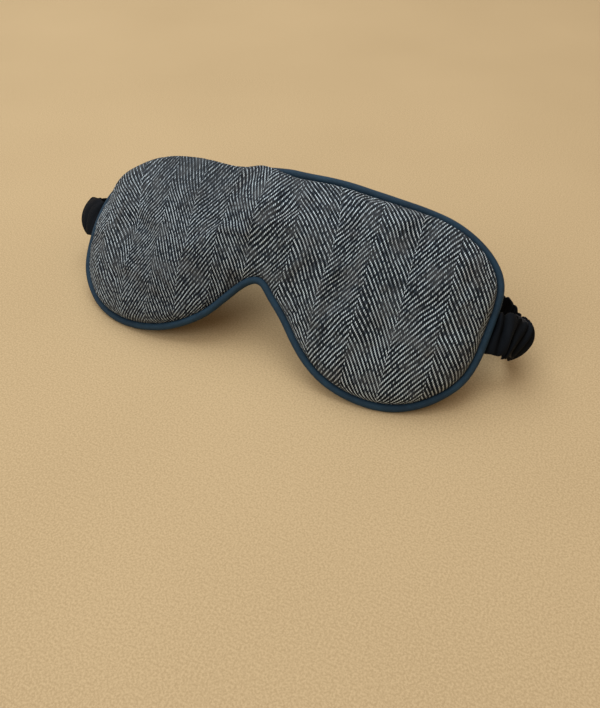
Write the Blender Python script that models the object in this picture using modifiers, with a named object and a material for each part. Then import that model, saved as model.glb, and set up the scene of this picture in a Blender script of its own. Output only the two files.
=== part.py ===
"""Padded sleep eye mask: a wool front and a dark lining around wadding, corded piping round the edge,
and a gathered elastic strap sewn into both sides.

Frame: +X along the mask's width, +Y towards its back (the face side), +Z up. Metres. The mask stands on the
piping of its two lobes and leans back on the strap, whose lower edge lies on the same surface, at z = 0.
Pad coordinates: u across, v up along the leaning pad from the bottom of the lobes, w out of its front.
"""
import math

import bmesh
import bpy
import numpy as np
from mathutils import Vector

MM = 0.001

# Pad outline: half of it, from top centre over the side and the lobe to the nose notch (u, v in mm)
OUTLINE = [(0.0, 92.5), (52.0, 90.0), (85.0, 83.0), (100.5, 69.0), (102.5, 47.5),
           (98.5, 22.5), (78.0, 4.0), (47.0, 2.5), (19.0, 19.6), (0.0, 38.2)]
LEAN = math.radians(47.0)        # the pad's lean back from the vertical
LOBE_Y = -43.4 * MM              # where the lobes' piping meets the table
WRAP_RADIUS = 450 * MM           # the gentle curve of the pad round the face
QUARTER = 16                     # outline stations from centre to side

# Piping: a cord wrapped in a bias strip whose flange is sewn into the seam
CORD_RADIUS = 0.85 * MM
COVER_INNER = 1.3 * MM
COVER_OUTER = 1.7 * MM
FLANGE_IN = 0.4 * MM             # half the slot between the two plies of the flange
FLANGE_OUT = 0.8 * MM
FLANGE_REACH = 8.0 * MM          # how far the flange goes in from the outer edge
THREAD_RADIUS = 0.2 * MM

# Layers of the pad, by their distance from its seam plane at the edge
PAD_INSET = 3.8 * MM             # the panels start this far in, beside the piping
FILL_INSET = 8.6 * MM            # wadding and interlining start inside the flange
FRONT_TOP = 2.1 * MM
FRONT_THICK = 0.9 * MM
LINING_TOP = -3.3 * MM
LINING_THICK = 0.6 * MM
BLACKOUT_THICK = 0.4 * MM
CROWN_BRIDGE = 5.0 * MM          # loft of the front over the nose bridge
CROWN_EYE = 8.5 * MM             # and over each eye
CROWN_BACK = 2.5 * MM
CROWN_REACH = 17 * MM            # how far in from the edge the pad reaches full loft

# Strap: an elastic in a gathered sleeve
STRAP_WIDTH = 20.0 * MM
STRAP_THICK = 3.0 * MM
SLEEVE_WALL = 0.5 * MM
ELASTIC_WIDTH = 15.0 * MM
ELASTIC_THICK = 0.7 * MM
ROOT_V = 47 * MM                 # height of the sewn ends along the pad
END_LENGTH = 8.0 * MM
END_THICK = 1.0 * MM
END_W = -2.6 * MM                # the sewn end lies between the flange and the lining
# Centre line of the right half from the sewn end to mid strap (x, y, z in mm), and the tilt of its width
STRAP_ROUTE = [(109.0, -1.0, 24.8), (114.0, 2.2, 20.8), (114.3, 9.2, 17.2), (109.5, 17.2, 14.2),
               (98.0, 25.2, 11.9), (77.0, 34.0, 10.5), (46.0, 41.0, 10.0), (15.0, 43.4, 10.0),
               (0.0, 43.6, 10.0)]
STRAP_TILT = [46, 41, 32, 20, 10, 4, 1, 0, 0]
STRAP_ROLL = [2, 8, 10, 6, 1, 0, 0, 0, 0]
STRAP_STEPS = 32

for ob in list(bpy.data.objects):
    bpy.data.objects.remove(ob, do_unlink=True)
scene = bpy.context.scene
parts = bpy.data.collections.new("sleep_eye_mask")
scene.collection.children.link(parts)


def material(name, colour, roughness):
    mat = bpy.data.materials.new(name)
    mat.use_nodes = True
    shader = mat.node_tree.nodes["Principled BSDF"]
    shader.inputs["Base Color"].default_value = (*colour, 1.0)
    shader.inputs["Roughness"].default_value = roughness
    shader.inputs["Metallic"].default_value = 0.0
    return mat


def spline(points, count, closed=False):
    """A smooth cubic through the points, spaced by their distances, sampled count times."""
    pts = np.array(points, float)
    if closed:
        pts = np.vstack([pts, pts[:1]])
    t = np.r_[0.0, np.cumsum(np.linalg.norm(np.diff(pts[:, :3], axis=0), axis=1))]
    n = len(pts)
    h = np.diff(t)
    slope = np.diff(pts, axis=0) / h[:, None]
    a = np.zeros((n, n))
    b = np.zeros_like(pts)
    for i in range(1, n - 1):
        a[i, i - 1], a[i, i], a[i, i + 1] = h[i], 2 * (h[i - 1] + h[i]), h[i - 1]
        b[i] = 3 * (h[i] * slope[i - 1] + h[i - 1] * slope[i])
    if closed:
        a[0, 0], a[0, -1] = 1, -1
        a[-1, 0], a[-1, 1] = 2 * h[-1], h[-1]
        a[-1, -1], a[-1, -2] = 2 * h[0], h[0]
        b[-1] = 3 * (h[-1] * slope[0] + h[0] * slope[-1])
    else:
        a[0, 0], a[0, 1] = 2, 1
        a[-1, -1], a[-1, -2] = 2, 1
        b[0], b[-1] = 3 * slope[0], 3 * slope[-1]
    d = np.linalg.solve(a, b)
    s = np.linspace(0, t[-1], count)
    k = np.clip(np.searchsorted(t, s, side="right") - 1, 0, n - 2)
    x = ((s - t[k]) / h[k])[:, None]
    hk = h[k][:, None]
    return ((1 + 2 * x) * (1 - x) ** 2 * pts[k] + x * (1 - x) ** 2 * hk * d[k]
            + x * x * (3 - 2 * x) * pts[k + 1] + x * x * (x - 1) * hk * d[k + 1])


def half_outline():
    """Stations of the right half of the outline, top centre to notch, with their inward normals."""
    half = [(u * MM, v * MM) for u, v in OUTLINE]
    ring = half + [(-u, v) for u, v in half[-2:0:-1]]
    dense = spline(ring, 4001, closed=True)
    side = int(np.argmax(dense[:, 0]))
    notch = int(np.argmin(np.hypot(*(dense - half[-1]).T)))
    reach = dense[side, 0]
    lift = dense[:, 1].min()
    step = np.linspace(0, 1, QUARTER + 1)
    us = reach * np.sin(math.pi / 2 * step * (0.35 + 0.65 * step))
    tangent = np.gradient(dense, axis=0)
    inward = np.stack([tangent[:, 1], -tangent[:, 0]], 1)
    inward /= np.linalg.norm(inward, axis=1)[:, None]
    fields = np.hstack([dense, inward])
    upper, lower = fields[:side + 1], fields[side:notch + 1]
    top = [[np.interp(u, upper[:, 0], upper[:, j]) for j in range(4)] for u in us[:-1]]
    low = [[np.interp(u, lower[::-1, 0], lower[::-1, j]) for j in range(4)] for u in us[:-1][::-1]]
    out = np.array(top + [list(fields[side])] + low)
    out[:, 1] -= lift
    out[[0, -1], 0] = 0.0
    out[[0, -1], 2] = 0.0
    return out[:, :2], out[:, 2:]


EDGE, INWARD = half_outline()
REACH = EDGE[:, 0].max()


def smooth(x):
    x = np.clip(x, 0.0, 1.0)
    return x * x * (3 - 2 * x)


def place(u, v, w):
    """A point of the pad: curved round the face, then leaned back."""
    slope = math.atan(u / WRAP_RADIUS)
    x = u + w * math.sin(slope)
    back = 0.5 * u * u / WRAP_RADIUS - w * math.cos(slope)
    y = v * math.sin(LEAN) + back * math.cos(LEAN)
    z = v * math.cos(LEAN) - back * math.sin(LEAN)
    return Vector((x, y, z)) + SHIFT


def medial(point):
    """The point of the pad's middle line that an outline point is joined to."""
    u = 0.62 * REACH * math.sin(math.pi / 2 * min(point[0] / REACH, 1.0))
    v = 48 * MM + 19 * MM * (1 - smooth(u / (52 * MM)))
    return np.array([u, v])


def loft(u, depth):
    """How far the wadding lifts the front at a distance depth from the edge."""
    height = CROWN_BRIDGE + (CROWN_EYE - CROWN_BRIDGE) * smooth(u / (48 * MM))
    return height * swell(depth)


def swell(depth):
    x = 1 - min(max(depth, 0.0) / CROWN_REACH, 1.0)
    return math.sqrt(1 - x * x)


def ring(inset, depth):
    """One ring of (u, v) a distance depth in from the outline at inset, towards the middle line."""
    out = []
    for p, n in zip(EDGE, INWARD):
        start = p + n * inset
        way = medial(p) - start
        size = np.linalg.norm(way)
        out.append(start + way / size * min(depth, 0.93 * size))
    out[0][0] = out[-1][0] = 0.0
    return out


DEPTHS = [0.0, 1.2 * MM, 3.4 * MM, 8.0 * MM, 15.0 * MM, 1.0]

SHIFT = Vector((0.0, 0.0, 0.0))
bead = [place(p[0] + n[0] * COVER_OUTER, p[1] + n[1] * COVER_OUTER, 0.0) for p, n in zip(EDGE, INWARD)]
SHIFT = Vector((0.0, LOBE_Y - min(b.y for b in bead), COVER_OUTER - min(b.z for b in bead)))
ROOT = place(REACH, ROOT_V, END_W)


def new_mesh(name, verts, faces, mat, pivot=None):
    mesh = bpy.data.meshes.new(name)
    home = pivot.location if pivot else Vector((0, 0, 0))
    mesh.from_pydata([Vector(v) - home for v in verts], [], faces)
    bm = bmesh.new()
    bm.from_mesh(mesh)
    bmesh.ops.recalc_face_normals(bm, faces=bm.faces)
    if bm.calc_volume(signed=True) < 0:
        bmesh.ops.reverse_faces(bm, faces=bm.faces)
    bm.to_mesh(mesh)
    bm.free()
    mesh.shade_smooth()
    mesh.materials.append(mat)
    ob = bpy.data.objects.new(name, mesh)
    parts.objects.link(ob)
    if pivot:
        ob.parent = pivot
    return ob


def mirrored(ob):
    mod = ob.modifiers.new("Both halves", "MIRROR")
    mod.use_axis[0] = True
    mod.use_bisect_axis[0] = False
    mod.use_mirror_merge = True
    mod.merge_threshold = 0.0001
    return mod


def face_up(ob, direction):
    """Turns an open sheet so that its normals follow the direction."""
    total = Vector((0, 0, 0))
    for poly in ob.data.polygons:
        total += poly.normal * poly.area
    if total.dot(direction) < 0:
        ob.data.flip_normals()


def grid_faces(rings, count):
    faces = []
    for r in range(rings - 1):
        for i in range(count - 1):
            a = r * count + i
            faces.append((a, a + 1, a + count + 1, a + count))
    return faces


def middle_faces(start, count):
    """Closes the last ring across the pad's middle line, each upper station to the lower one below it."""
    last = count - 1
    faces = []
    for i in range(last // 2):
        j = last - i
        if i + 1 == j - 1:
            faces.append((start + i, start + i + 1, start + j))
        else:
            faces.append((start + i, start + i + 1, start + j - 1, start + j))
    return faces


def sheet(inset, height):
    """Half of a fabric layer as rings of points with height(u, depth) giving each one's w."""
    verts = []
    for depth in DEPTHS:
        for (u, v), p in zip(ring(inset, depth), EDGE):
            d = min(depth, 0.05) + inset - PAD_INSET
            verts.append(place(u, v, height(u, d)))
    count = len(EDGE)
    faces = grid_faces(len(DEPTHS), count)
    faces += middle_faces((len(DEPTHS) - 1) * count, count)
    return verts, faces


def panel(name, inset, height, thickness, mat, outward):
    verts, faces = sheet(inset, height)
    ob = new_mesh(name, verts, faces, mat)
    normal = Vector((0, -math.cos(LEAN), math.sin(LEAN))) * outward
    face_up(ob, normal)
    mirrored(ob)
    mod = ob.modifiers.new("Fabric", "SOLIDIFY")
    mod.thickness = thickness
    mod.offset = -1.0
    mod.use_even_offset = False
    return ob


def solid_fill(name, inset, top, bottom, mat):
    upper, faces = sheet(inset, top)
    lower, _ = sheet(inset, bottom)
    shift = len(upper)
    rim = len(EDGE)
    faces = faces + [tuple(reversed([f + shift for f in face])) for face in faces]
    faces += [(i + 1, i, i + shift, i + 1 + shift) for i in range(rim - 1)]
    ob = new_mesh(name, upper + lower, faces, mat)
    mirrored(ob)
    return ob


wool = material("wool_herringbone", (0.19, 0.20, 0.22), 0.95)
filling = material("polyester_wadding", (0.80, 0.79, 0.76), 0.95)
blackout = material("blackout_cotton", (0.012, 0.012, 0.014), 0.85)
satin = material("lining_satin", (0.010, 0.016, 0.026), 0.55)
piping = material("piping_cotton", (0.030, 0.075, 0.135), 0.75)
cotton_cord = material("cotton_cord", (0.70, 0.68, 0.62), 0.90)
thread = material("polyester_thread", (0.02, 0.04, 0.08), 0.60)
strap_silk = material("strap_silk", (0.008, 0.014, 0.024), 0.60)
rubber = material("woven_elastic", (0.02, 0.02, 0.02), 0.80)

# The pad, from its front to its back
panel("front_panel", PAD_INSET, lambda u, d: FRONT_TOP + loft(u, d), FRONT_THICK, wool, 1)
solid_fill("wadding", FILL_INSET,
           lambda u, d: FRONT_TOP - FRONT_THICK - 0.9 * MM + loft(u, d - 1.2 * MM) * 0.97,
           lambda u, d: -1.35 * MM - CROWN_BACK * swell(d) * 0.9, filling)
panel("blackout_interlining", FILL_INSET,
      lambda u, d: -1.95 * MM - CROWN_BACK * swell(d), BLACKOUT_THICK, blackout, -1)
panel("back_lining", PAD_INSET,
      lambda u, d: LINING_TOP - LINING_THICK - CROWN_BACK * swell(d) * 1.05, LINING_THICK, satin, -1)

# Piping: the cover is one C-shaped strip, its two plies running inwards from the cord
section = []
for k in range(9):
    turn = math.radians(150 - 300 * k / 8)
    section.append((-COVER_OUTER * math.cos(turn), COVER_OUTER * math.sin(turn)))
section[0] = (-COVER_OUTER * math.cos(math.radians(152)), FLANGE_OUT)
section[-1] = (section[0][0], -FLANGE_OUT)
section = [(FLANGE_REACH - COVER_OUTER, FLANGE_OUT)] + section
section += [(FLANGE_REACH - COVER_OUTER, -FLANGE_OUT), (FLANGE_REACH - COVER_OUTER, -FLANGE_IN)]
inner = []
for k in range(7):
    turn = math.radians(-162 + 324 * k / 6)
    inner.append((-COVER_INNER * math.cos(turn), COVER_INNER * math.sin(turn)))
section += inner + [(FLANGE_REACH - COVER_OUTER, FLANGE_IN)]
verts = []
for p, n in zip(EDGE, INWARD):
    for across, w in section:
        q = p + n * (COVER_OUTER + across)
        verts.append(place(q[0] if p[0] > 0 else 0.0, q[1], w))
count = len(section)
faces = []
for i in range(len(EDGE) - 1):
    for k in range(count):
        m = (k + 1) % count
        faces.append((i * count + k, i * count + m, (i + 1) * count + m, (i + 1) * count + k))
mirrored(new_mesh("piping_cover", verts, faces, piping))


def closed_cord(name, inset, radius, resolution, mat):
    """A cord laid along the outline at an inset, all the way round."""
    half = [place(p[0] + n[0] * inset, p[1] + n[1] * inset, 0.0) for p, n in zip(EDGE, INWARD)]
    points = half + [Vector((-q.x, q.y, q.z)) for q in half[-2:0:-1]]
    curve = bpy.data.curves.new(name, "CURVE")
    curve.dimensions = "3D"
    curve.bevel_depth = radius
    curve.bevel_resolution = resolution
    curve.resolution_u = 1
    line = curve.splines.new("POLY")
    line.points.add(len(points) - 1)
    for slot, q in zip(line.points, points):
        slot.co = (*q, 1.0)
    line.use_cyclic_u = True
    curve.materials.append(mat)
    ob = bpy.data.objects.new(name, curve)
    parts.objects.link(ob)
    return ob


closed_cord("piping_cord", COVER_OUTER, CORD_RADIUS, 1, cotton_cord)
closed_cord("edge_seam_thread", 4.6 * MM, THREAD_RADIUS, 0, thread)

# The strap's sewn ends, flat between the flange and the lining
for side, word in ((1, "right"), (-1, "left")):
    bpy.ops.mesh.primitive_cube_add(size=1)
    tab = bpy.context.active_object
    tab.name = tab.data.name = "strap_end_" + word
    tab.scale = (END_LENGTH, END_THICK, STRAP_WIDTH)
    bpy.ops.object.transform_apply(location=False, rotation=False, scale=True)
    middle = place(REACH - END_LENGTH / 2 + 0.8 * MM, ROOT_V, END_W)
    tab.location = (side * middle.x, middle.y, middle.z)
    tab.rotation_mode = "ZYX"
    tab.rotation_euler = (-LEAN, 0.0, side * math.atan((REACH - END_LENGTH / 2) / WRAP_RADIUS))
    edge = tab.modifiers.new("Edges", "BEVEL")
    edge.width = 0.3 * MM
    edge.segments = 1
    tab.data.materials.append(strap_silk)
    for home in list(tab.users_collection):
        home.objects.unlink(tab)
    parts.objects.link(tab)

# The strap swings about the line through its two sewn ends
pivot = bpy.data.objects.new("strap_pivot", None)
pivot.location = (0.0, ROOT.y, ROOT.z)
pivot.empty_display_size = 0.02
parts.objects.link(pivot)


def strap_stations():
    """Centre, width direction and thickness direction of each station from the sewn end to mid strap."""
    route = [(REACH / MM + 1.3, ROOT.y / MM, ROOT.z / MM)] + STRAP_ROUTE
    tilts = [math.degrees(LEAN)] + STRAP_TILT
    rolls = [0.0] + STRAP_ROLL
    half = [(x, y, z, a, b) for (x, y, z), a, b in zip(route, tilts, rolls)]
    whole = half + [(-x, y, z, a, -b) for x, y, z, a, b in half[-2::-1]]
    path = spline(whole, 2 * STRAP_STEPS + 1)[:STRAP_STEPS + 1]
    out = []
    for i, (x, y, z, a, b) in enumerate(path):
        if x < 40:
            z, a, b = STRAP_WIDTH / MM / 2, 0.0, 0.0
        after = path[min(i + 1, STRAP_STEPS)]
        before = path[max(i - 1, 0)]
        way = Vector((after - before)[:3])
        if i == STRAP_STEPS or x < 40:
            way.z = 0.0
        if i == STRAP_STEPS:
            way, x = Vector((-1.0, 0.0, 0.0)), 0.0
        if i == 0:
            way = Vector((1.0, 0.0, 0.0))
        way.normalize()
        a, b = math.radians(a), math.radians(b)
        across = Vector((math.sin(b), math.cos(b) * math.sin(a), math.cos(b) * math.cos(a)))
        across = (across - way * across.dot(way)).normalized()
        out.append((Vector((x, y, z)) * MM, across, way.cross(across)))
    return out


STATIONS = strap_stations()


def band(name, outline, mat, closed_end):
    """Half of a band with this cross-section (thickness, width) along the strap."""
    verts = [c + b * t + a * w for c, a, b in STATIONS for t, w in outline]
    count = len(outline)
    faces = []
    for i in range(len(STATIONS) - 1):
        for k in range(count):
            m = (k + 1) % count
            faces.append((i * count + k, i * count + m, (i + 1) * count + m, (i + 1) * count + k))
    if closed_end:
        faces.append(tuple(range(count)))
    ob = new_mesh(name, verts, faces, mat, pivot)
    ob.data.shade_flat()
    mirrored(ob)
    return ob


thin, tall = STRAP_THICK / 2, STRAP_WIDTH / 2
corner = 1.3 * MM
flat = 0.8 * MM
sleeve = band("strap_sleeve",
              [(thin, corner - tall), (thin, 0.0), (thin, tall - corner), (flat, tall), (-flat, tall),
               (-thin, tall - corner), (-thin, 0.0), (-thin, corner - tall), (-flat, -tall), (flat, -tall)],
              strap_silk, False)
wall = sleeve.modifiers.new("Cloth", "SOLIDIFY")
wall.thickness = SLEEVE_WALL
wall.offset = -1.0
thin, tall = ELASTIC_THICK / 2, ELASTIC_WIDTH / 2
band("strap_elastic", [(thin, -tall), (thin, tall), (-thin, tall), (-thin, -tall)], rubber, True)
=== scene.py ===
"""Sleep eye mask: padded herringbone wool front, satin back, corded piping and a gathered elastic strap.

Pad coordinates: u across, v up along the leaning pad from the bottom of its lobes, w out of its front.
"""
import math

import bmesh
import bpy
import numpy as np
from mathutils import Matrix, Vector
from mathutils.geometry import delaunay_2d_cdt


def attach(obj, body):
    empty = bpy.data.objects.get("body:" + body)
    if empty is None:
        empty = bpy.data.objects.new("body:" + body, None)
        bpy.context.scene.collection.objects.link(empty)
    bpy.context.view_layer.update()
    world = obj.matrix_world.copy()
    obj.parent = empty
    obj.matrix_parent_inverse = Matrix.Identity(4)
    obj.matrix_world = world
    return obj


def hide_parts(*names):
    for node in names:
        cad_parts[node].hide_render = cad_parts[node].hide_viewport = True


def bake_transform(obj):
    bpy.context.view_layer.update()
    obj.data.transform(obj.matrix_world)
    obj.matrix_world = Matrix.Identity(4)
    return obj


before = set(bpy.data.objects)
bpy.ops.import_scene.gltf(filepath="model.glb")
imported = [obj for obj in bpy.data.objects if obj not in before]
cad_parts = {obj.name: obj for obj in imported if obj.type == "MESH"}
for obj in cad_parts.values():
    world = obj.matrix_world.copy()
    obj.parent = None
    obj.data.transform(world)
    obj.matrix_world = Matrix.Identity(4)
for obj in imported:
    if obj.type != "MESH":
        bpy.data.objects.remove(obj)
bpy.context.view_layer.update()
MM = 0.001
scene = bpy.context.scene

# ---------------------------------------------------------------- shape, as in the CAD model
OUTLINE = [(0.0, 92.5), (52.0, 90.0), (85.0, 83.0), (100.5, 69.0), (102.5, 47.5),
           (98.5, 22.5), (78.0, 4.0), (47.0, 2.5), (19.0, 19.6), (0.0, 38.2)]
LEAN = math.radians(47.0)
WRAP_RADIUS = 450 * MM
BACKWARD = np.array([0.0, math.cos(LEAN), -math.sin(LEAN)])   # out of the back of the leaning pad
LOBE_Y = -43.4 * MM
BEAD = 1.7 * MM
ROOT_V = 47 * MM
STRAP_W = -2.6 * MM
STRAP_WIDTH = 20.0 * MM
STRAP_ROUTE = [(109.0, -1.0, 24.8), (114.0, 2.2, 20.8), (114.3, 9.2, 17.2), (109.5, 17.2, 14.2),
               (98.0, 25.2, 11.9), (77.0, 34.0, 10.5), (46.0, 41.0, 10.0), (15.0, 43.4, 10.0),
               (0.0, 43.6, 10.0)]
STRAP_TILT = [46, 41, 32, 20, 10, 4, 1, 0, 0]
STRAP_ROLL = [2, 8, 10, 6, 1, 0, 0, 0, 0]


def spline(points, count, closed=False):
    """A smooth cubic through the points, spaced by their distances, sampled count times."""
    pts = np.array(points, float)
    if closed:
        pts = np.vstack([pts, pts[:1]])
    t = np.r_[0.0, np.cumsum(np.linalg.norm(np.diff(pts[:, :3], axis=0), axis=1))]
    n = len(pts)
    h = np.diff(t)
    slope = np.diff(pts, axis=0) / h[:, None]
    a = np.zeros((n, n))
    b = np.zeros_like(pts)
    for i in range(1, n - 1):
        a[i, i - 1], a[i, i], a[i, i + 1] = h[i], 2 * (h[i - 1] + h[i]), h[i - 1]
        b[i] = 3 * (h[i] * slope[i - 1] + h[i - 1] * slope[i])
    if closed:
        a[0, 0], a[0, -1] = 1, -1
        a[-1, 0], a[-1, 1] = 2 * h[-1], h[-1]
        a[-1, -1], a[-1, -2] = 2 * h[0], h[0]
        b[-1] = 3 * (h[-1] * slope[0] + h[0] * slope[-1])
    else:
        a[0, 0], a[0, 1] = 2, 1
        a[-1, -1], a[-1, -2] = 2, 1
        b[0], b[-1] = 3 * slope[0], 3 * slope[-1]
    d = np.linalg.solve(a, b)
    s = np.linspace(0, t[-1], count)
    k = np.clip(np.searchsorted(t, s, side="right") - 1, 0, n - 2)
    x = ((s - t[k]) / h[k])[:, None]
    hk = h[k][:, None]
    return ((1 + 2 * x) * (1 - x) ** 2 * pts[k] + x * (1 - x) ** 2 * hk * d[k]
            + x * x * (3 - 2 * x) * pts[k + 1] + x * x * (x - 1) * hk * d[k + 1])


def smooth(x):
    x = np.clip(x, 0.0, 1.0)
    return x * x * (3 - 2 * x)


def even(points, count):
    """A closed line's points spread evenly along it."""
    ring = np.vstack([points, points[:1]])
    s = np.r_[0.0, np.cumsum(np.linalg.norm(np.diff(ring, axis=0), axis=1))]
    at = np.linspace(0, s[-1], count + 1)[:-1]
    return np.stack([np.interp(at, s, ring[:, j]) for j in range(ring.shape[1])], 1)


half = [(u * MM, v * MM) for u, v in OUTLINE]
EDGE = even(spline(half + [(-u, v) for u, v in half[-2:0:-1]], 6001, closed=True)[:-1], 1200)
EDGE[:, 1] -= EDGE[:, 1].min()
REACH = EDGE[:, 0].max()
TANGENT = np.roll(EDGE, -1, 0) - np.roll(EDGE, 1, 0)
TANGENT /= np.linalg.norm(TANGENT, axis=1)[:, None]
INWARD = np.stack([TANGENT[:, 1], -TANGENT[:, 0]], 1)


def lay(uvw, shift=None):
    """Pad coordinates to the row frame: curved round the face, then leaned back."""
    u, v, w = np.asarray(uvw, float).T
    slope = np.arctan(u / WRAP_RADIUS)
    x = u + w * np.sin(slope)
    back = 0.5 * u * u / WRAP_RADIUS - w * np.cos(slope)
    y = v * math.sin(LEAN) + back * math.cos(LEAN)
    z = v * math.cos(LEAN) - back * math.sin(LEAN)
    return np.stack([x, y, z], 1) + (SHIFT if shift is None else shift)


CORNER_BACK = 9.6 * MM                   # how far the top left corner is bent back
EASED_OUT, EASED_UP = 0.7 * MM, 1.3 * MM   # how far the right lobe is eased outwards and up
# Where the soft pad is pulled out of its even outline, all in mm: the spot (u, v), how far the pull reaches
# along u and v, and the pull itself
PULLS = [((-93, 76), (14, 18), (0, -1.9)),     # left shoulder
         ((-33, 84), (10, 20), (0, -1.3)),     # dip beside the bridge
         ((-22, 84), (9, 20), (0, 1.15)),      # rise next to it
         ((70, 84), (18, 20), (0, 0.5)),       # right brow
         ((8, 34), (10, 10), (-2.2, -0.7)),    # right side of the nose notch
         ((-17, 20), (12, 14), (0, -1.2))]     # left side of the nose notch


def place(uvw):
    """The pad as it lies in use: top left corner bent back with the piping, right lobe eased out and up."""
    u, v, w = np.asarray(uvw, float).T
    corner = CORNER_BACK * smooth(-u / (28 * MM)) * smooth((v - 40 * MM) / (50 * MM))
    ease = smooth(u / (25 * MM))
    pull = np.zeros((2, len(u)))
    for spot, reach, by in PULLS:
        near = np.exp(-((u / MM - spot[0]) / reach[0]) ** 2 - ((v / MM - spot[1]) / reach[1]) ** 2)
        pull += np.outer(by, near) * MM
    u, v = u + EASED_OUT * ease + pull[0], v + EASED_UP * ease * smooth((v - 1 * MM) / (14 * MM)) + pull[1]
    return lay(np.stack([u, v, w], 1)) + corner[:, None] * BACKWARD


def unplace(xyz):
    """Row frame back to pad coordinates."""
    x, y, z = (np.asarray(xyz, float) - SHIFT).T
    v = y * math.sin(LEAN) + z * math.cos(LEAN)
    back = y * math.cos(LEAN) - z * math.sin(LEAN)
    u, w = x, np.zeros(len(x))
    for _ in range(6):
        slope = np.arctan(u / WRAP_RADIUS)
        w = (0.5 * u * u / WRAP_RADIUS - back) / np.cos(slope)
        u = x - w * np.sin(slope)
    return np.stack([u, v, w], 1)


bead_line = lay(np.c_[EDGE + INWARD * BEAD, np.zeros(len(EDGE))], np.zeros(3))
SHIFT = np.array([0.0, LOBE_Y - bead_line[:, 1].min(), BEAD - bead_line[:, 2].min()])
ROOT = lay([(REACH, ROOT_V, STRAP_W)])[0]


def depth_of(uv):
    """Distance in from the outline."""
    out = np.empty(len(uv))
    for i in range(0, len(uv), 400):
        gap = uv[i:i + 400, None] - EDGE[None]
        out[i:i + 400] = np.sqrt((gap ** 2).sum(-1)).min(1)
    return out


def ripple(p, wave, seed):
    """Smooth unhurried noise of a few crossing waves, about -1 to 1."""
    rng = np.random.default_rng(seed)
    total = np.zeros(len(p))
    for _ in range(7):
        way = rng.normal(size=p.shape[1])
        way /= np.linalg.norm(way)
        total += np.sin(p @ way * (2 * math.pi / wave) * rng.uniform(0.6, 1.6) + rng.uniform(0, 6.28))
    return total / 4


UV_PER_METRE = 10.0   # the layer "flat" holds the cut cloth's coordinates in units of 100 mm


# ---------------------------------------------------------------- material helpers
class Wire:
    """A shader value that can be added, multiplied and so on."""

    def __init__(self, tree, socket):
        self.tree, self.socket = tree, socket

    def op(self, kind, *others, clamp=False):
        node = self.tree.nodes.new("ShaderNodeMath")
        node.operation = kind
        node.use_clamp = clamp
        for slot, value in zip(node.inputs, (self, *others)):
            if isinstance(value, Wire):
                self.tree.links.new(value.socket, slot)
            else:
                slot.default_value = value
        return Wire(self.tree, node.outputs[0])

    def __add__(self, o): return self.op("ADD", o)
    __radd__ = __add__
    def __sub__(self, o): return self.op("SUBTRACT", o)
    def __rsub__(self, o): return (self * -1.0) + o
    def __mul__(self, o): return self.op("MULTIPLY", o)
    __rmul__ = __mul__
    def __truediv__(self, o): return self.op("DIVIDE", o)
    def floor(self): return self.op("FLOOR")
    def frac(self): return self.op("FRACT")
    def mod(self, n): return self.op("FLOORED_MODULO", n)
    def abs(self): return self.op("ABSOLUTE")
    def power(self, n): return self.op("POWER", n)
    def clamp(self): return self.op("ADD", 0.0, clamp=True)

    def span(self, low, high, to_low=0.0, to_high=1.0):
        node = self.tree.nodes.new("ShaderNodeMapRange")
        node.interpolation_type = "SMOOTHSTEP"
        self.tree.links.new(self.socket, node.inputs["Value"])
        for name, value in (("From Min", low), ("From Max", high), ("To Min", to_low), ("To Max", to_high)):
            node.inputs[name].default_value = value
        return Wire(self.tree, node.outputs["Result"])


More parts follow.
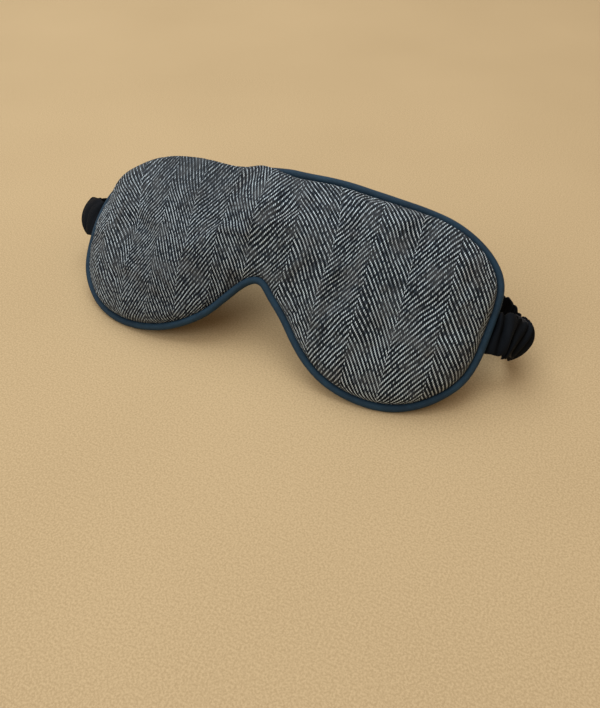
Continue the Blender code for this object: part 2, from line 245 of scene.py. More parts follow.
class Cloth:
    """A Principled material under construction."""

    def __init__(self, name, roughness=0.8, specular=0.3, sheen=0.0, sheen_rough=0.5, tint=(1, 1, 1)):
        self.mat = bpy.data.materials.new(name)
        self.mat.use_nodes = True
        self.tree = self.mat.node_tree
        self.shader = self.tree.nodes["Principled BSDF"]
        self.shader.inputs["Roughness"].default_value = roughness
        self.shader.inputs["Specular IOR Level"].default_value = specular
        self.shader.inputs["Sheen Weight"].default_value = sheen
        self.shader.inputs["Sheen Roughness"].default_value = sheen_rough
        self.shader.inputs["Sheen Tint"].default_value = (*tint, 1.0)

    def layer(self, name):
        """The two values that a mesh carries in one of its UV layers."""
        node = self.tree.nodes.new("ShaderNodeUVMap")
        node.uv_map = name
        parts = self.tree.nodes.new("ShaderNodeSeparateXYZ")
        self.tree.links.new(node.outputs["UV"], parts.inputs[0])
        return Wire(self.tree, parts.outputs[0]), Wire(self.tree, parts.outputs[1])

    def flat(self):
        """The cut cloth's own coordinates, in millimetres."""
        along, across = self.layer("flat")
        return along * (1000.0 / UV_PER_METRE), across * (1000.0 / UV_PER_METRE)

    def object_mm(self):
        node = self.tree.nodes.new("ShaderNodeTexCoord")
        parts = self.tree.nodes.new("ShaderNodeSeparateXYZ")
        self.tree.links.new(node.outputs["Object"], parts.inputs[0])
        return [Wire(self.tree, parts.outputs[k]) * 1000.0 for k in range(3)]

    def join(self, x, y, z=0.0):
        node = self.tree.nodes.new("ShaderNodeCombineXYZ")
        for slot, value in zip(node.inputs, (x, y, z)):
            if isinstance(value, Wire):
                self.tree.links.new(value.socket, slot)
            else:
                slot.default_value = value
        return node.outputs[0]

    def noise(self, place_at, scale, detail=2.0, rough=0.5):
        node = self.tree.nodes.new("ShaderNodeTexNoise")
        node.inputs["Scale"].default_value = scale
        node.inputs["Detail"].default_value = detail
        node.inputs["Roughness"].default_value = rough
        self.tree.links.new(place_at, node.inputs["Vector"])
        return Wire(self.tree, node.outputs["Fac"])

    def chance(self, place_at):
        node = self.tree.nodes.new("ShaderNodeTexWhiteNoise")
        node.noise_dimensions = "3D"
        self.tree.links.new(place_at, node.inputs["Vector"])
        return Wire(self.tree, node.outputs["Value"])

    def mix(self, share, a, b):
        node = self.tree.nodes.new("ShaderNodeMix")
        node.data_type = "RGBA"
        self.tree.links.new(share.socket, node.inputs["Factor"])
        for name, value in (("A", a), ("B", b)):
            slot = [s for s in node.inputs if s.name == name and s.type == "RGBA"][0]
            if isinstance(value, tuple):
                slot.default_value = (*value, 1.0)
            else:
                self.tree.links.new(value, slot)
        return [s for s in node.outputs if s.type == "RGBA"][0]

    def multiply(self, share, a, b):
        """Colour a multiplied by colour b, by this much."""
        node = self.tree.nodes.new("ShaderNodeMix")
        node.data_type = "RGBA"
        node.blend_type = "MULTIPLY"
        node.clamp_factor = True
        node.inputs["Factor"].default_value = share
        slots = [x for x in node.inputs if x.type == "RGBA"]
        self.tree.links.new(a, slots[0])
        self.tree.links.new(b, slots[1])
        return [x for x in node.outputs if x.type == "RGBA"][0]

    def colour(self, socket):
        self.tree.links.new(socket, self.shader.inputs["Base Color"])

    def rough(self, wire):
        self.tree.links.new(wire.socket, self.shader.inputs["Roughness"])

    def bump(self, height, distance, strength=1.0, below=None):
        node = self.tree.nodes.new("ShaderNodeBump")
        node.inputs["Strength"].default_value = strength
        node.inputs["Distance"].default_value = distance
        self.tree.links.new(height.socket, node.inputs["Height"])
        if below is not None:
            self.tree.links.new(below, node.inputs["Normal"])
        self.tree.links.new(node.outputs[0], self.shader.inputs["Normal"])
        return node.outputs[0]


# ---------------------------------------------------------------- materials
END_PITCH = 0.493     # warp ends, mm apart across the mask
PICK_PITCH = 0.686    # weft picks, mm apart up the mask
BAND = 18.1           # width of one herringbone band, mm


def laid_cloth(c, u0, v0, drift, wave):
    """Where the weave lies across (u) and up (v) the mask, in mm: it leans a little and is eased in places."""
    lean = math.radians(4.0)
    # the cloth is eased together left of the nose: its bands are narrower, and more upright near the top
    eased = (-8.0 - u0).op("MAXIMUM", 0.0)
    far = (eased - 60.0).op("MAXIMUM", 0.0)
    upright = eased.op("MINIMUM", 60.0) * (v0 - 47.0).op("MAXIMUM", 0.0)
    bridge = u0.span(-8.0, 6.0) * u0.span(32.0, 46.0, 1.0, 0.0)
    sway = bridge * (v0.span(66.0, 88.0, 0.0, 5.0) - v0.span(32.0, 60.0, 0.0, 2.7))
    u = (u0 * math.cos(lean) + v0 * math.sin(lean) - eased * 0.28 + far * 0.45 + upright * 0.0065 + sway
         + u0.span(50.0, 76.0, 0.0, 2.3) + drift * 2.4 + wave * 0.3)
    v = v0 * math.cos(lean) - u0 * math.sin(lean) + (c.noise(c.join(u0, v0, 7.0), 0.10, 1.0) - 0.5) * 1.2
    return u, v


def herringbone():
    """2/2 twill that turns at each band: pale wool ends over navy-black picks, with slubs and shade drift;
    painted shade darkens its top left and painted light brightens its lower right.
    """
    c = Cloth("wool_herringbone", 0.94, 0.10, 0.06, 0.5, (0.85, 0.90, 1.0))
    u0, v0 = c.flat()
    at = c.join(u0, v0)
    u, v = laid_cloth(c, u0, v0, c.noise(at, 0.05, 1.0) - 0.5, c.noise(at, 0.16, 2.0) - 0.5)
    bands = u / BAND + 0.25
    turned = bands.floor().mod(2.0)
    zig = (bands.mod(2.0) - 1.0).abs() * (BAND / END_PITCH)
    end = zig + turned * 60.0 + bands.floor() * 120.0
    pick = v / PICK_PITCH
    # every pale stitch floats over two picks and steps by one at each end
    stepped = pick + zig.floor() + turned * 2.0
    across_end = (end.frac() - 0.5) * 2.0
    along_stitch = (stepped.mod(4.0) - 1.0) * 1.16
    stitch = (1.0 - across_end * across_end * 1.5 - along_stitch * along_stitch).span(0.0, 0.55)
    line = ((pick + zig + turned * 2.0) / 4.0).frac()
    ridge = 1.0 - ((line - 0.375).abs() * 2.0).span(0.14, 0.46)
    lift = stitch * 0.82 + ridge * 0.18
    # each end and each stitch has its own shade, and thins and thickens along its length
    end_id = c.chance(c.join(end.floor(), 3.0, 1.0))
    pick_id = c.chance(c.join(pick.floor(), 9.0, 2.0))
    fleck = c.chance(c.join(end.floor(), (stepped / 4.0).floor(), 5.0))
    slub = c.noise(c.join(end.floor() * 1.7, v * 0.35, 4.0), 1.0, 2.0, 0.6)
    faint = c.noise(c.join(u0 * 0.30, v0 * 0.16, 2.0), 1.0, 3.0, 0.6)
    # painted shade darkens the cloth at its top left, where it is also greyed by fuzz, and painted light
    # brightens it and widens its pale stitches towards its lower right
    top_left_shade_and_fuzz = v0.span(52.0, 85.0) * (u0 * -1.0).span(5.0, 45.0)
    lower_right_painted_light = (u0 - v0 * 0.9).span(5.0, 60.0)
    painted_light_and_shade = 1.20 - top_left_shade_and_fuzz * 0.60 + lower_right_painted_light * 1.5
    bright = (0.20 * end_id + 0.85 * slub + 1.4 * fleck - 0.56) * (0.25 + 1.40 * faint) * painted_light_and_shade
    pale = c.mix(bright.clamp(), (0.078, 0.108, 0.144), (0.73, 0.89, 1.0))
    dark = c.mix((pick_id * 0.6 + fleck * 0.4), (0.0026, 0.0042, 0.0068), (0.009, 0.0155, 0.024))
    fuzz = c.noise(c.join(u0, v0, 17.0), 0.11, 3.0, 0.6).span(0.46, 0.70)
    # painted light: the pale stitches widen towards the lower right
    stitches = c.mix((lift + lower_right_painted_light * 0.14).span(0.22, 0.80), dark, pale)
    woven = c.mix(fuzz * 0.5 + top_left_shade_and_fuzz * 0.16, stitches, (0.074, 0.083, 0.092))
    patch = c.noise(c.join(u0, v0, 11.0), 0.07, 3.0, 0.6)
    warm = c.mix((patch - 0.50) * 4.0, (1.0, 1.0, 1.0), (0.62, 0.52, 0.46))
    c.colour(c.multiply(0.7, woven, warm))
    c.rough(0.84 + 0.14 * fleck)
    soft = c.bump(c.noise(at, 0.5, 3.0), 0.0003, 0.35)
    c.bump(lift, 0.0003, 0.9, soft)
    return c.mat


def plain_weave(name, dark, light, pitch, roughness, specular, sheen, relief, mottle, bias=0.0,
                tint=(0.6, 0.75, 1.0), gathers=False):
    """A close weave on the cloth's own coordinates. When gathers is set, shade is painted into the valleys
    between the folds.
    """
    c = Cloth(name, roughness, specular, sheen, 0.35, tint)
    u0, v0 = c.flat()
    u = u0 * math.cos(bias) + v0 * math.sin(bias)
    v = v0 * math.cos(bias) - u0 * math.sin(bias)
    a, b = u / pitch, v / pitch
    check = (a.floor() + b.floor()).mod(2.0)
    ra = 1.0 - ((a.frac() - 0.5) * 2.0).power(2.0)
    rb = 1.0 - ((b.frac() - 0.5) * 2.0).power(2.0)
    height = check * ra + (1.0 - check) * rb
    yarn = c.chance(c.join(a.floor(), 2.0, 1.0)) * 0.5 + c.chance(c.join(b.floor(), 5.0, 1.0)) * 0.5
    cloud = c.noise(c.join(u0, v0, 3.0), 0.12, 3.0, 0.6)
    share = (height * 0.35 + yarn * 0.35 + (cloud - 0.5) * mottle * 2.0 + 0.15).clamp()
    cover = c.mix(share, dark, light)
    if gathers:
        # painted shade: the valleys between the gathers are darkened by the height in the fold
        fold_height_to_shade, _ = c.layer("fold")
        cover = c.mix(fold_height_to_shade.span(0.05, 0.55), tuple(x * 0.25 for x in dark), cover)
    c.colour(cover)
    c.rough((roughness - 0.08) + 0.16 * yarn)
    soft = c.bump(c.noise(c.join(u0, v0, 8.0), 0.9, 2.0), 0.00018, 0.5)
    c.bump(height, relief, 0.8, soft)
    return c.mat


def hidden_cloth(name, dark, light, scale, roughness, relief):
    """For the pieces inside the pad: fibres or threads in the object's own space."""
    c = Cloth(name, roughness, 0.2)
    x, y, z = c.object_mm()
    spot = c.join(x, y, z)
    fibre = c.noise(spot, scale, 4.0, 0.65)
    c.colour(c.mix(fibre.span(0.3, 0.7), dark, light))
    c.rough((roughness - 0.1) + 0.2 * fibre)
    c.bump(fibre, relief, 0.8)
    return c.mat


wool = herringbone()
piping_mat = plain_weave("piping_cotton", (0.0038, 0.0140, 0.0300), (0.0185, 0.0560, 0.0980), pitch=0.22,
                         bias=math.radians(45), roughness=0.60, specular=0.20, sheen=0.0, relief=0.00006,
                         tint=(0.5, 0.8, 1.0), mottle=0.45)
satin_mat = plain_weave("lining_satin", (0.0035, 0.0055, 0.009), (0.010, 0.015, 0.023), pitch=0.16,
                        bias=0.1, roughness=0.46, specular=0.40, sheen=0.12, relief=0.00002, mottle=0.3)
# the strap's material paints shade into the valleys between its gathers
strap_mat = plain_weave("strap_silk", (0.0012, 0.0022, 0.0036), (0.0060, 0.0088, 0.0132), pitch=0.18,
                        roughness=0.70, specular=0.08, sheen=0.02, relief=0.00003, mottle=0.35, gathers=True)
elastic_mat = plain_weave("woven_elastic", (0.008, 0.008, 0.009), (0.05, 0.05, 0.055), pitch=0.9,
                          roughness=0.8, specular=0.2, sheen=0.1, relief=0.0002, tint=(1, 1, 1), mottle=0.1)


# ---------------------------------------------------------------- mesh helpers
def add_layer(mesh, name, values):
    """Writes a UV layer: values has one row for each vertex, or else one for each corner of each face."""
    values = np.asarray(values, np.float32)
    if len(values) == len(mesh.vertices):
        corners = np.empty(len(mesh.loops), int)
        mesh.loops.foreach_get("vertex_index", corners)
        values = values[corners]
    mesh.uv_layers.new(name=name).uv.foreach_set("vector", values.ravel())


def make(name, verts, faces, mat, flat, fold=None):
    """A new piece. flat is where its cloth lies when cut, in metres, and fold its height in a fold, 0 to 1,
    from which its material paints shade into the valleys.
    """
    mesh = bpy.data.meshes.new(name)
    mesh.from_pydata([tuple(p) for p in np.asarray(verts)], [], [tuple(int(i) for i in f) for f in faces])
    mesh.materials.append(mat)
    add_layer(mesh, "flat", np.asarray(flat) * UV_PER_METRE)
    if fold is not None:
        add_layer(mesh, "fold", np.stack([fold, 0 * fold], 1))
    mesh.shade_smooth()
    ob = bpy.data.objects.new(name, mesh)
    scene.collection.objects.link(ob)
    return ob


def bake_modifiers(ob):
    """Keeps what the modifiers make as the piece's own mesh."""
    bpy.context.view_layer.update()
    graph = bpy.context.evaluated_depsgraph_get()
    mesh = bpy.data.meshes.new_from_object(ob.evaluated_get(graph), depsgraph=graph)
    ob.modifiers.clear()
    old = ob.data
    ob.data = mesh
    bpy.data.meshes.remove(old)
    return ob


def positions(mesh):
    out = np.empty(len(mesh.vertices) * 3)
    mesh.vertices.foreach_get("co", out)
    return out.reshape(-1, 3)


def tube(name, inset, radius, sides, mat, wobble, seed):
    """A closed round tube along the mask's outline at an inset; its cloth coordinates run round and along."""
    pts = EDGE + INWARD * inset
    n = len(pts)
    centre = place(np.c_[pts, np.zeros(n)])
    out = place(np.c_[pts - INWARD * 1e-3, np.zeros(n)]) - centre
    up = place(np.c_[pts, np.full(n, 1e-3)]) - centre
    out /= np.linalg.norm(out, axis=1)[:, None]
    up /= np.linalg.norm(up, axis=1)[:, None]
    turn = np.linspace(0, 2 * math.pi, sides, endpoint=False)
    length = np.r_[0.0, np.cumsum(np.linalg.norm(np.diff(pts, axis=0), axis=1))]
    total = length[-1] + np.linalg.norm(pts[-1] - pts[0])
    r = np.full((n, sides), radius)
    ring = np.stack([np.cos(turn), np.sin(turn)], 1)
    for i in range(n):
        spot = np.c_[np.full((sides, 2), centre[i, [0, 2]]), ring * 0.004]
        r[i] += wobble * ripple(spot, 0.011, seed)
    verts = (centre[:, None] + r[..., None] * (np.cos(turn)[None, :, None] * out[:, None]
                                               + np.sin(turn)[None, :, None] * up[:, None])).reshape(-1, 3)
    faces, flat = [], []
    for i in range(n):
        j = (i + 1) % n
        s0, s1 = length[i], length[j] if j else total
        for k in range(sides):
            m = (k + 1) % sides
            faces.append((i * sides + k, j * sides + k, j * sides + m, i * sides + m))
            a0, a1 = radius * turn[k], radius * (turn[k] + 2 * math.pi / sides)
            flat += [(s0, a0), (s1, a0), (s1, a1), (s0, a1)]
    return make(name, verts, faces, mat, flat)


# ---------------------------------------------------------------- the padded front and back
def lattice(inset, pitch):
    """An even triangle net inside the outline at an inset; the first points are its rim."""
    rim = even(EDGE + INWARD * inset, int(560 * MM / pitch * 0.9))
    low, high = rim.min(0), rim.max(0)
    pts = []
    row = 0
    y = low[1] + pitch * 0.4
    while y < high[1]:
        x = low[0] + (pitch / 2 if row % 2 else 0)
        while x < high[0]:
            pts.append((x, y))
            x += pitch
        y += pitch * math.sqrt(3) / 2
        row += 1
    pts = np.array(pts)
    a, b = rim, np.roll(rim, -1, 0)
    inside = np.zeros(len(pts), bool)
    for (x0, y0), (x1, y1) in zip(a, b):
        cross = ((y0 > pts[:, 1]) != (y1 > pts[:, 1]))
        at = (x1 - x0) * (pts[:, 1] - y0) / (y1 - y0 + 1e-12) + x0
        inside ^= cross & (pts[:, 0] < at)
    pts = pts[inside]
    pts = pts[depth_of(pts) > inset + 3.4 * MM + pitch * 0.62]
    rings = [even(EDGE + INWARD * (inset + step * MM), len(rim)) for step in (0.8, 1.9, 3.4)]
    every = np.vstack([rim, *rings, pts])
    n = len(rim)
    loop = [(i, (i + 1) % n) for i in range(n)]
    verts, _, faces, *_ = delaunay_2d_cdt([Vector(p) for p in every], loop, [list(range(n))], 1, 1e-7)
    return np.array([tuple(p) for p in verts]), faces, n


def swell(depth, reach):
    x = 1 - np.clip(depth / reach, 0.0, 1.0)
    return np.sqrt(np.maximum(1 - x * x, 0.0))


DOME_REACH = 26 * MM   # how far in the slow dome over each eye reaches its top


def crown(depth, height, reach, dome):
    """How far a face of the pad rises: a round shoulder, then a slow dome."""
    return height * swell(depth, reach) + dome * smooth(depth / DOME_REACH)


def cut_coordinates(uv, depth, height, reach):
    """Where each point lies on the flat cloth: rims reach further out, because the cloth rolls over there."""
    steps = np.linspace(0, reach, 60)
    rise = height * swell(steps, reach)
    arc = np.r_[0.0, np.cumsum(np.hypot(np.diff(steps), np.diff(rise)))]
    extra = (arc[-1] - np.interp(depth, steps, arc)) - (reach - np.clip(depth, 0, reach))
    return uv + outward_of(uv) * np.maximum(extra, 0)[:, None]


def outward_of(uv):
    """The way out of the pad at each point, across the nearest stretch of its outline."""
    near = np.empty(len(uv), int)
    for i in range(0, len(uv), 400):
        near[i:i + 400] = ((uv[i:i + 400, None] - EDGE[None]) ** 2).sum(-1).argmin(1)
    return -INWARD[near]


def padded_sheet(name, mat, side, inset, edge_w, height, reach, dome, pitch, thickness, pressure, grow, cap,
                 bulge=None):
    """A fabric face of the pad: a crowned net of triangles, swollen by the cloth simulation and thickened.

    side is 1 for the front and -1 for the back. The cloth grows by this share and lifts by cap at most, and
    bulge rolls it out over the piping.
    """
    uv, faces, rim = lattice(inset, pitch)
    depth = np.maximum(depth_of(uv) - inset, 0.0)
    depth[:rim] = 0.0
    high = height(uv)
    w = edge_w + side * crown(depth, high, reach, dome)
    flat = cut_coordinates(uv, depth, float(high.mean()), reach)
    if bulge is not None:
        rolled = smooth(depth / (2.2 * MM)) * (1 - smooth((depth - 2.4 * MM) / (14 * MM)))
        uv = uv + outward_of(uv) * (bulge(uv) * rolled)[:, None]
    start = place(np.c_[uv, w])
    ob = make(name, start, faces, mat, flat)
    normal = place(np.c_[uv[:1], w[:1] + side * 1e-3])[0] - start[0]
    total = sum((Vector(p.normal) * p.area for p in ob.data.polygons), Vector())
    if total.dot(Vector(normal)) < 0:
        ob.data.flip_normals()
    ahead = place(np.c_[uv, w + side * 1e-3]) - start
    ahead /= np.linalg.norm(ahead, axis=1)[:, None]
    pins = ob.vertex_groups.new(name="seam")
    pins.add(list(range(rim)), 1.0, "REPLACE")
    cloth = ob.modifiers.new("Cloth", "CLOTH")
    cloth.settings.quality = 8
    cloth.settings.mass = 0.15
    cloth.settings.tension_stiffness = 20
    cloth.settings.compression_stiffness = 12
    cloth.settings.shear_stiffness = 6
    cloth.settings.bending_stiffness = 0.25
    cloth.settings.vertex_group_mass = "seam"
    cloth.settings.shrink_min = -grow
    cloth.settings.shrink_max = -grow
    cloth.settings.use_pressure = True
    cloth.settings.uniform_pressure_force = pressure
    cloth.settings.effector_weights.gravity = 0.0
    cloth.collision_settings.use_collision = False
    scene.frame_start, scene.frame_end = 1, 20
    for number in range(1, 21):
        scene.frame_set(number)
    bake_modifiers(ob)
    scene.frame_set(1)
    after = positions(ob.data)
    lift = ((after - start) * ahead).sum(1)
    along = (after - start) - lift[:, None] * ahead
    lift = np.clip(lift, -0.25 * cap, cap)
    size = np.linalg.norm(along, axis=1)
    along *= (np.minimum(size, 0.8 * MM) / np.maximum(size, 1e-9))[:, None]
    fade = smooth(depth / (2.0 * MM))[:, None]
    moved = start + fade * (lift[:, None] * ahead + along)
    ob.data.vertices.foreach_set("co", moved.astype(np.float32).ravel())
    fine = ob.modifiers.new("Fine", "SUBSURF")
    fine.levels = fine.render_levels = 1
    bake_modifiers(ob)
    shell = ob.modifiers.new("Fabric", "SOLIDIFY")
    shell.thickness = thickness
    shell.offset = -1.0
    bake_modifiers(ob)
    ob.data.shade_smooth()
    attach(ob, "mask")
    return ob


def rolled_part(uv):
    """1 along the top of the left lobe, where the front bulges out over its piping."""
    u, v = uv.T
    return ((0.92 * smooth((5 * MM - u) / (26 * MM)) + 0.08 * smooth((-u - 20 * MM) / (35 * MM)))
            * smooth((v - 60 * MM) / (14 * MM)))


def front_height(uv):
    """The front's loft: fuller over each eye and where it is rolled, flatter at the far left."""
    u, v = uv.T
    side = smooth((-u - 72 * MM) / (24 * MM)) * (1 - smooth((v - 56 * MM) / (18 * MM)))
    return (4.3 + 2.6 * smooth(np.abs(u) / (50 * MM)) + 2.0 * rolled_part(uv) - 2.0 * side) * MM


def front_bulge(uv):
    """How far the front rolls out over its piping."""
    brow = smooth((uv[:, 1] - 58 * MM) / (20 * MM))
    return (5.2 * rolled_part(uv) + 1.3 * (1 - rolled_part(uv)) * brow) * MM


FRONT_INSET, FRONT_EDGE_W = 3.1 * MM, 0.3 * MM   # where the front's rim lies, against the piping
FRONT_REACH, FRONT_DOME = 12 * MM, 4.2 * MM
front = padded_sheet("wool_front", wool, side=1, inset=FRONT_INSET, edge_w=FRONT_EDGE_W, height=front_height,
                     reach=FRONT_REACH, dome=FRONT_DOME, pitch=1.7 * MM, thickness=0.5 * MM, pressure=2.5,
                     grow=0.02, cap=2.0 * MM, bulge=front_bulge)
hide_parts("front_panel")
back = padded_sheet("satin_back", satin_mat, side=-1, inset=2.9 * MM, edge_w=-1.6 * MM,
                    height=lambda uv: np.full(len(uv), 3.0 * MM), reach=9 * MM, dome=2.0 * MM, pitch=2.0 * MM,
                    thickness=0.4 * MM, pressure=2.0, grow=0.03, cap=1.2 * MM)
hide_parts("back_lining")

piping = tube("piping", inset=BEAD, radius=BEAD, sides=24, mat=piping_mat, wobble=0.05 * MM, seed=5)
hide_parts("piping_cover")
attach(piping, "mask")


# ---------------------------------------------------------------- the gathered strap
def strap_path(count):
    """Centre, width direction and thickness direction of each station from the right seam to the left."""
    start_x = REACH / MM
    route = [(start_x - 2.5, ROOT[1] / MM, ROOT[2] / MM), (start_x + 1.3, ROOT[1] / MM, ROOT[2] / MM)]
    route += STRAP_ROUTE
    tilts = [math.degrees(LEAN)] * 2 + STRAP_TILT
    rolls = [0, 0] + STRAP_ROLL
    half_way = [(x, y, z, a, b) for (x, y, z), a, b in zip(route, tilts, rolls)]
    path = spline(half_way + [(-x, y, z, a, -b) for x, y, z, a, b in half_way[-2::-1]], 4001)
    s = np.r_[0.0, np.cumsum(np.linalg.norm(np.diff(path[:, :3], axis=0), axis=1))]
    at = np.linspace(0, s[-1], count)
    path = np.stack([np.interp(at, s, path[:, j]) for j in range(5)], 1)
    way = np.gradient(path[:, :3], axis=0)
    way /= np.linalg.norm(way, axis=1)[:, None]
    tilt, roll = np.radians(path[:, 3]), np.radians(path[:, 4])
    across = np.stack([np.sin(roll), np.cos(roll) * np.sin(tilt), np.cos(roll) * np.cos(tilt)], 1)
    across -= way * (across * way).sum(1)[:, None]
    across /= np.linalg.norm(across, axis=1)[:, None]
    return path[:, :3] * MM, across, np.cross(way, across), at * MM


def folds(s, t, seed, pitch):
    """Height from 0 to 1 of gathers along s, each wandering with t, the place across the band (-1 to 1)."""
    rng = np.random.default_rng(seed)
    marks = np.cumsum(rng.uniform(0.55, 1.5, 200)) * pitch
    phase = np.interp(s, marks, np.arange(200))
    wander = 0.0
    for k in range(1, 5):
        way = rng.uniform(-1, 1)
        wander = wander + np.sin(t * rng.uniform(0.8, 2.6) + s / pitch * rng.uniform(0.3, 1.3)
                                 + rng.uniform(0, 6.28)) * way * 0.20
    shape = np.abs(np.sin(math.pi * (phase + wander))) ** 0.75
    size = 0.72 + 0.28 * np.sin(phase * 1.9 + t * 1.3 + rng.uniform(0, 6))
    return shape * size


FULLNESS = 1.8          # how much longer the sleeve's cloth is than the gathered strap
LOOP_AT = 19 * MM       # from each seam along the strap to the middle of its loop
FOLD_HEIGHT = 3.8 * MM
RIM_HEIGHT = 2.1 * MM
# The right loop's far edge stands wider or narrower than the strap, by this much at these distances, in mm
RIGHT_LOOP_AT = [14, 22, 28, 32, 36, 40, 46, 60, 80]
RIGHT_LOOP_BY = [0, -0.7, -1.8, -1.6, 0.3, 2.2, 3.9, 3.5, 0]


def gathered_strap():
    """The sleeve with its sewn ends: a flat tube along the strap's path, gathered into folds."""
    count, sides = 900, 64
    centre, across, thick, s = strap_path(count)
    total = s[-1]
    turn = np.linspace(0, 2 * math.pi, sides, endpoint=False)
    ss, tt = np.meshgrid(s, turn, indexing="ij")
    end = np.minimum(ss, total - ss)
    opened = smooth(end / (6 * MM))
    c, n = np.cos(tt), np.sin(tt)
    # flat lens-shaped section, fuller away from the seams
    half_thick = (0.75 + np.where(c > 0, 0.95, 0.35) * opened) * MM
    half_wide = STRAP_WIDTH / 2 - (0.7 + 0.5 * opened) * MM
    x = np.sign(c) * np.abs(c) ** 0.75
    y = np.sign(n) * np.abs(n) ** 0.85
    calm = 1.0 - 0.72 * smooth((ss - (total - 44 * MM)) / (10 * MM))
    left = smooth((total - ss) / (6 * MM))
    amount = opened * calm
    outer = folds(ss, y * 0.9, 3, 4.0 * MM)
    inner = 0.35 * folds(ss + 0.002, y * 1.6, 8, 3.3 * MM)
    crease = np.where(c > 0, outer, inner)
    blend_sides = smooth(np.abs(c) / 0.35)
    rim = folds(ss, np.sign(y) * 3.0, 21, 3.0 * MM)
    puff = crease * blend_sides + rim * (1 - blend_sides)
    # the sleeve bellies outwards at its loops, rounder on the left, and the right loop's far edge is uneven
    loop_right = np.exp(-((ss - LOOP_AT) / (11 * MM)) ** 2)
    loop_left = np.exp(-((total - ss - LOOP_AT) / (12 * MM)) ** 2)
    lift_x = np.maximum(half_thick + amount * (puff - 0.42) * FOLD_HEIGHT * left, 0.72 * MM)
    lift_y = half_wide + amount * (rim - 0.35) * RIM_HEIGHT
    lift_y = lift_y + np.where(n > 0, np.interp(ss / MM, RIGHT_LOOP_AT, RIGHT_LOOP_BY), 0) * MM
    lift_y = lift_y + 0.9 * MM * loop_left
    slide = amount * 0.55 * MM * np.sin(ss / (2.9 * MM) + y * 2.0)
    way = np.cross(across, thick)
    belly = (1.2 * loop_right * (0.75 - (y - 0.35) ** 2) + 2.6 * loop_left * (0.75 - y * y)) * MM
    points = (centre[:, None] + thick[:, None] * (x * lift_x + belly)[..., None]
              + across[:, None] * (y * lift_y)[..., None] + way[:, None] * slide[..., None])
    points[..., 2] += 1.3 * MM * loop_left
    points[..., 2] = np.maximum(points[..., 2], 0.00003)
    verts = points.reshape(-1, 3)
    faces = []
    flat = []
    girth = 2 * STRAP_WIDTH
    for i in range(count - 1):
        for k in range(sides):
            m = (k + 1) % sides
            faces.append((i * sides + k, i * sides + m, (i + 1) * sides + m, (i + 1) * sides + k))
            a0, a1 = girth * k / sides, girth * (k + 1) / sides
            s0, s1 = s[i] * FULLNESS, s[i + 1] * FULLNESS
            flat += [(s0, a0), (s0, a1), (s1, a1), (s1, a0)]
    faces.append(tuple(range(sides)))
    flat += [(0.0, 0.0)] * sides
    faces.append(tuple(reversed(range((count - 1) * sides, count * sides))))
    flat += [(0.0, 0.0)] * sides
    # the height in each fold, from which the strap's material paints shade into the valleys between the
    # gathers
    fold = (1.0 - amount * (1.0 - puff)).ravel()
    ob = make("gathered_strap", verts, faces, strap_mat, flat, fold)
    bm = bmesh.new()
    bm.from_mesh(ob.data)
    bmesh.ops.recalc_face_normals(bm, faces=bm.faces)
    bm.to_mesh(ob.data)
    bm.free()
    return ob


def inner_elastic():
    """The flat band inside the sleeve, which stops a little short of the seams."""
    count, short = 240, 6
    half_thick, half_wide = 0.35 * MM, 7.4 * MM
    centre, across, thick, s = strap_path(count)
    section = [(half_thick, -half_wide), (half_thick, half_wide), (-half_thick, half_wide),
               (-half_thick, -half_wide)]
    points = np.stack([centre + thick * a + across * b for a, b in section], 1)[short:-short]
    rows = len(points)
    faces = [(i * 4 + k, i * 4 + (k + 1) % 4, i * 4 + 4 + (k + 1) % 4, i * 4 + 4 + k)
             for i in range(rows - 1) for k in range(4)]
    faces += [(3, 2, 1, 0), tuple(range(4 * rows - 4, 4 * rows))]
    flat = [(s[i + short], k * 0.02) for i in range(rows) for k in range(4)]
    ob = make("elastic_band", points.reshape(-1, 3), faces, elastic_mat, flat)
    ob.data.shade_flat()
    return ob


strap = gathered_strap()
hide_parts("strap_sleeve", "strap_end_left", "strap_end_right")
elastic = inner_elastic()
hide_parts("strap_elastic")
for piece in (strap, elastic):
    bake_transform(piece)

# ---------------------------------------------------------------- inside the pad: the CAD shapes, bent with it
WADDING_GAP = 1.6 * MM   # the wadding stays this far under the front
inside = {
    "wadding": ("wadding", hidden_cloth("polyester_wadding", (0.45, 0.44, 0.42), (0.82, 0.81, 0.78),
                                        scale=1.6, roughness=0.9, relief=0.0005)),
    "blackout_interlining": ("blackout", hidden_cloth("blackout_cotton", (0.004, 0.004, 0.005),
                                                      (0.02, 0.02, 0.022), scale=3.0, roughness=0.8,
                                                      relief=0.0001)),
    "piping_cord": ("cord", hidden_cloth("cotton_cord", (0.45, 0.42, 0.36), (0.75, 0.72, 0.66),
                                         scale=2.2, roughness=0.85, relief=0.0002)),
    "edge_seam_thread": ("thread", hidden_cloth("seam_thread", (0.008, 0.016, 0.030), (0.03, 0.06, 0.10),
                                                scale=4.0, roughness=0.5, relief=0.0001)),
}
for node, (slot, mat) in inside.items():
    source = bpy.data.objects[node]
    mesh = source.data.copy()
    mesh.transform(source.matrix_world)
    spots = unplace(positions(mesh))
    if node == "wadding":
        depth = np.maximum(depth_of(spots[:, :2]) - FRONT_INSET, 0.0)
        skin = FRONT_EDGE_W + crown(depth, front_height(spots[:, :2]), FRONT_REACH, FRONT_DOME)
        spots[:, 2] = np.minimum(spots[:, 2], skin - WADDING_GAP)
    mesh.vertices.foreach_set("co", place(spots).astype(np.float32).ravel())
    mesh.materials.clear()
    mesh.materials.append(mat)
    mesh.update()
    ob = bpy.data.objects.new(node + "_bent", mesh)
    scene.collection.objects.link(ob)
    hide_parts(node)
    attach(ob, "mask")

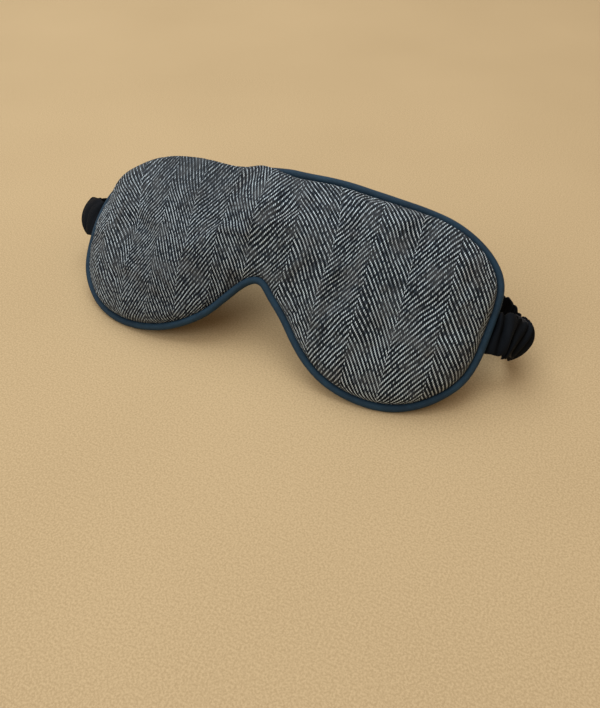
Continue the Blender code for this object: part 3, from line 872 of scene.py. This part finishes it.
# ---------------------------------------------------------------- floor, light and camera
floor_mat = Cloth("pale_floor", 0.85, 0.2)
fx, fy, _ = floor_mat.object_mm()
grain = floor_mat.noise(floor_mat.join(fx, fy, 0.0), 1.3, 3.0, 0.65)
broad = floor_mat.noise(floor_mat.join(fx, fy, 5.0), 0.006, 2.0)
floor_mat.colour(floor_mat.mix((grain * 0.85 + broad * 0.15).span(0.36, 0.64),
                               (0.428, 0.322, 0.180), (0.548, 0.424, 0.248)))
floor_mat.bump(grain, 0.0002, 0.25)
bpy.ops.mesh.primitive_plane_add(size=6.0, location=(0, 0, 0))
floor = bpy.context.active_object
floor.name = "floor"
floor.data.materials.append(floor_mat.mat)


def area_light(name, at, size, power, colour):
    """A round soft lamp turned to the middle of the mask."""
    lamp = bpy.data.lights.new(name, "AREA")
    lamp.shape = "DISK"
    lamp.size = size
    lamp.energy = power
    lamp.color = colour
    ob = bpy.data.objects.new(name, lamp)
    ob.location = at
    ob.rotation_euler = (Vector((0, 0, 0.02)) - Vector(at)).to_track_quat("-Z", "Y").to_euler()
    scene.collection.objects.link(ob)


area_light("key", (-0.36, 0.36, 1.30), size=1.5, power=17.6, colour=(0.90, 0.95, 0.985))
area_light("fill", (-0.35, -0.90, 1.00), size=1.0, power=7.4, colour=(0.95, 0.98, 1.0))
world = bpy.data.worlds.new("studio")
world.use_nodes = True
sky = world.node_tree.nodes["Background"]
sky.inputs["Color"].default_value = (1.0, 0.71, 0.47, 1.0)
sky.inputs["Strength"].default_value = 0.40
scene.world = world
scene.view_settings.view_transform = "Standard"

CAM_AT = Vector((0.1265, -0.2399, 0.2220))
CAM_TURN = math.radians(25.72)
CAM_PITCH = math.radians(42.96)
ahead = Vector((-math.sin(CAM_TURN) * math.cos(CAM_PITCH), math.cos(CAM_TURN) * math.cos(CAM_PITCH),
                -math.sin(CAM_PITCH)))
camera = bpy.data.cameras.new("camera")
camera.sensor_fit = "VERTICAL"
camera.sensor_height = 24.0
camera.lens = 23.73
camera.clip_start = 0.01
cam_ob = bpy.data.objects.new("camera", camera)
cam_ob.location = CAM_AT
cam_ob.rotation_euler = ahead.to_track_quat("-Z", "Y").to_euler()
scene.collection.objects.link(cam_ob)
scene.camera = cam_ob
